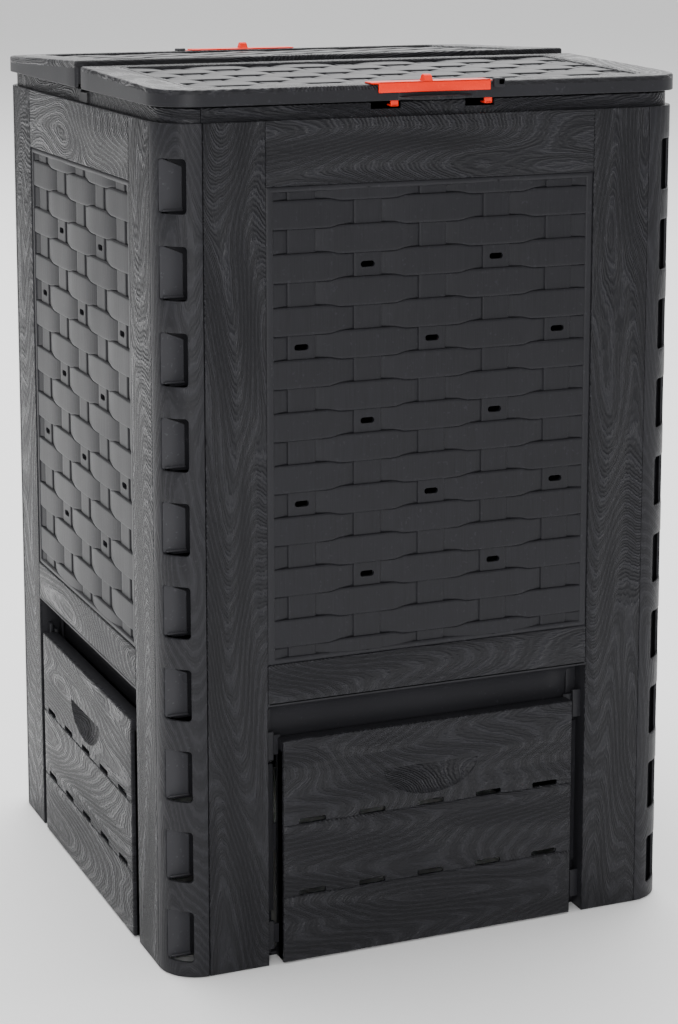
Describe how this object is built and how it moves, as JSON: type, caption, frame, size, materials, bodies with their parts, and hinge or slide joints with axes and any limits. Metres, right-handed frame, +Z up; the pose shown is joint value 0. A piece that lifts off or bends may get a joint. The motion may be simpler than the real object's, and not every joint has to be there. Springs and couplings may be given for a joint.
{
  "type": "garden compost bin",
  "caption": "Square garden compost bin with interlocking woven-look side panels, lift-out hatches at the foot and a two-part gabled lid with sliding latches.",
  "frame": {"origin": "middle of the footprint on the ground, under the centre of the bounding box", "axes": "+Z up, the front with the foremost latch towards -Y, +X to the right seen from the front"},
  "size_m": [0.605, 0.625, 0.956],
  "materials": {
    "body_plastic": "anthracite moulded plastic with wood grain and smooth woven panels, satin",
    "latch_plastic": "orange-red moulded plastic, satin",
    "pin_plastic": "dark plain plastic"
  },
  "bodies": {
    "bin": {"front_panel": "body_plastic", "right_panel": "body_plastic", "rear_panel": "body_plastic", "left_panel": "body_plastic", "hinge_beam": "body_plastic", "front_hinge_pin_1": "pin_plastic", "front_hinge_pin_2": "pin_plastic", "front_hinge_pin_3": "pin_plastic", "rear_hinge_pin_1": "pin_plastic", "rear_hinge_pin_2": "pin_plastic", "rear_hinge_pin_3": "pin_plastic"},
    "front_lid": {"front_lid": "body_plastic"},
    "rear_lid": {"rear_lid": "body_plastic"},
    "front_latch": {"front_latch": "latch_plastic"},
    "rear_latch": {"rear_latch": "latch_plastic"},
    "front_hatch": {"front_hatch": "body_plastic"},
    "right_hatch": {"right_hatch": "body_plastic"},
    "rear_hatch": {"rear_hatch": "body_plastic"},
    "left_hatch": {"left_hatch": "body_plastic"}
  },
  "joints": [
    {"name": "front_lid_hinge", "type": "hinge", "parent": "bin", "child": "front_lid", "pos_m": [0, -0.038, 0.938], "axis": [-1, 0, 0], "range_deg": [0, 90]},
    {"name": "rear_lid_hinge", "type": "hinge", "parent": "bin", "child": "rear_lid", "pos_m": [0, 0, 0.94], "axis": [1, 0, 0], "range_deg": [0, 90]},
    {"name": "front_latch_slide", "type": "slide", "parent": "front_lid", "child": "front_latch", "axis": [-1, 0, 0], "range_m": [0, 0.019]},
    {"name": "rear_latch_slide", "type": "slide", "parent": "rear_lid", "child": "rear_latch", "axis": [1, 0, 0], "range_m": [0, 0.019]},
    {"name": "front_hatch_lift", "type": "slide", "parent": "bin", "child": "front_hatch", "axis": [0, 0, 1], "range_m": [0, 0.0285]},
    {"name": "right_hatch_lift", "type": "slide", "parent": "bin", "child": "right_hatch", "axis": [0, 0, 1], "range_m": [0, 0.0285]},
    {"name": "rear_hatch_lift", "type": "slide", "parent": "bin", "child": "rear_hatch", "axis": [0, 0, 1], "range_m": [0, 0.0285]},
    {"name": "left_hatch_lift", "type": "slide", "parent": "bin", "child": "left_hatch", "axis": [0, 0, 1], "range_m": [0, 0.0285]}
  ]
}
